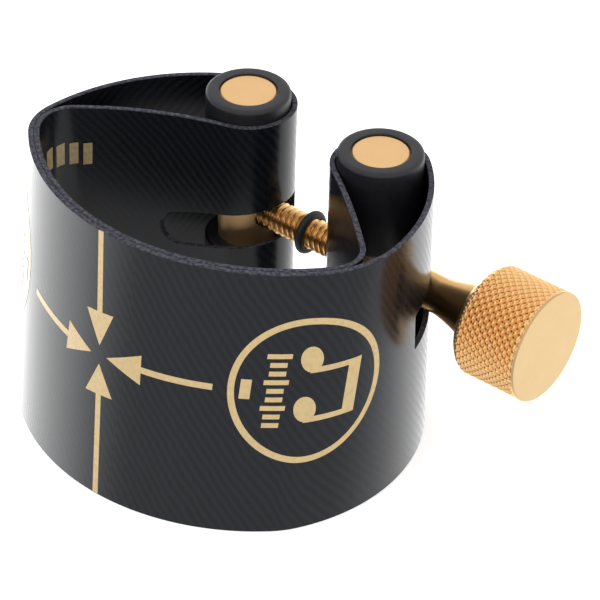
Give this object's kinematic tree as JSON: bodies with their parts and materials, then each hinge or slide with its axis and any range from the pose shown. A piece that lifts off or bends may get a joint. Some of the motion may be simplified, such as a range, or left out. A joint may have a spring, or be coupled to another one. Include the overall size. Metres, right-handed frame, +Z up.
{
  "type": "saxophone ligature",
  "caption": "Flared glossy fibre band that clamps a reed on a saxophone mouthpiece, drawn together between two upright posts by a knurled thumbscrew.",
  "frame": {"origin": "on the plane of the band's lower edge, in the middle of the ring, midway between the posts in X", "axes": "+Z up along the mouthpiece, +X along the screw towards its knob, +Y from the band's front towards the posts"},
  "size_m": [0.0367, 0.0248, 0.0196],
  "materials": {
    "fibre": "glossy black woven-fibre laminate, faint diagonal weave, fuzzy grey cut edges",
    "gold": "satin gold plate",
    "sleeve": "smooth satin black tube",
    "ring_rubber": "matt black rubber",
    "print": "flat gold ink printed on the band"
  },
  "bodies": {
    "root": {"band_right": "fibre", "flap_right": "fibre"},
    "left_half": {"band_left": "fibre", "flap_left": "fibre"},
    "left_post": {"post_core_left": "gold", "sleeve_left_upper": "sleeve", "sleeve_left_lower": "sleeve"},
    "right_post": {"post_core_right": "gold", "sleeve_right_upper": "sleeve", "sleeve_right_lower": "sleeve"},
    "screw": {"clamp_screw": "gold", "knob": "gold", "retaining_ring": "ring_rubber"}
  },
  "joints": [
    {"name": "band_flex", "type": "hinge", "parent": "root", "child": "left_half", "pos_m": [0, -0.0115, 0.0093], "axis": [0, 0, -1], "range_deg": [-4.8, 5.5]},
    {"name": "left_post_pivot", "type": "hinge", "parent": "left_half", "child": "left_post", "pos_m": [-0.00565, 0.0077, 0.0093], "axis": [0, 0, 1], "range_deg": [-2.4, 2.75]},
    {"name": "right_post_pivot", "type": "hinge", "parent": "root", "child": "right_post", "pos_m": [0.00565, 0.0077, 0.0093], "axis": [0, 0, -1], "range_deg": [-2.4, 2.75]},
    {"name": "knob_spin", "type": "hinge", "parent": "right_post", "child": "screw", "pos_m": [0.00565, 0.0077, 0.01045], "axis": [-1, 0, 0], "range_deg": [-1260, 1440]}
  ],
  "couplings": [
    {"joint": "band_flex", "follows": "knob_spin", "ratio": 0.0037302},
    {"joint": "left_post_pivot", "follows": "knob_spin", "ratio": 0.0018651},
    {"joint": "right_post_pivot", "follows": "knob_spin", "ratio": 0.0018651}
  ]
}
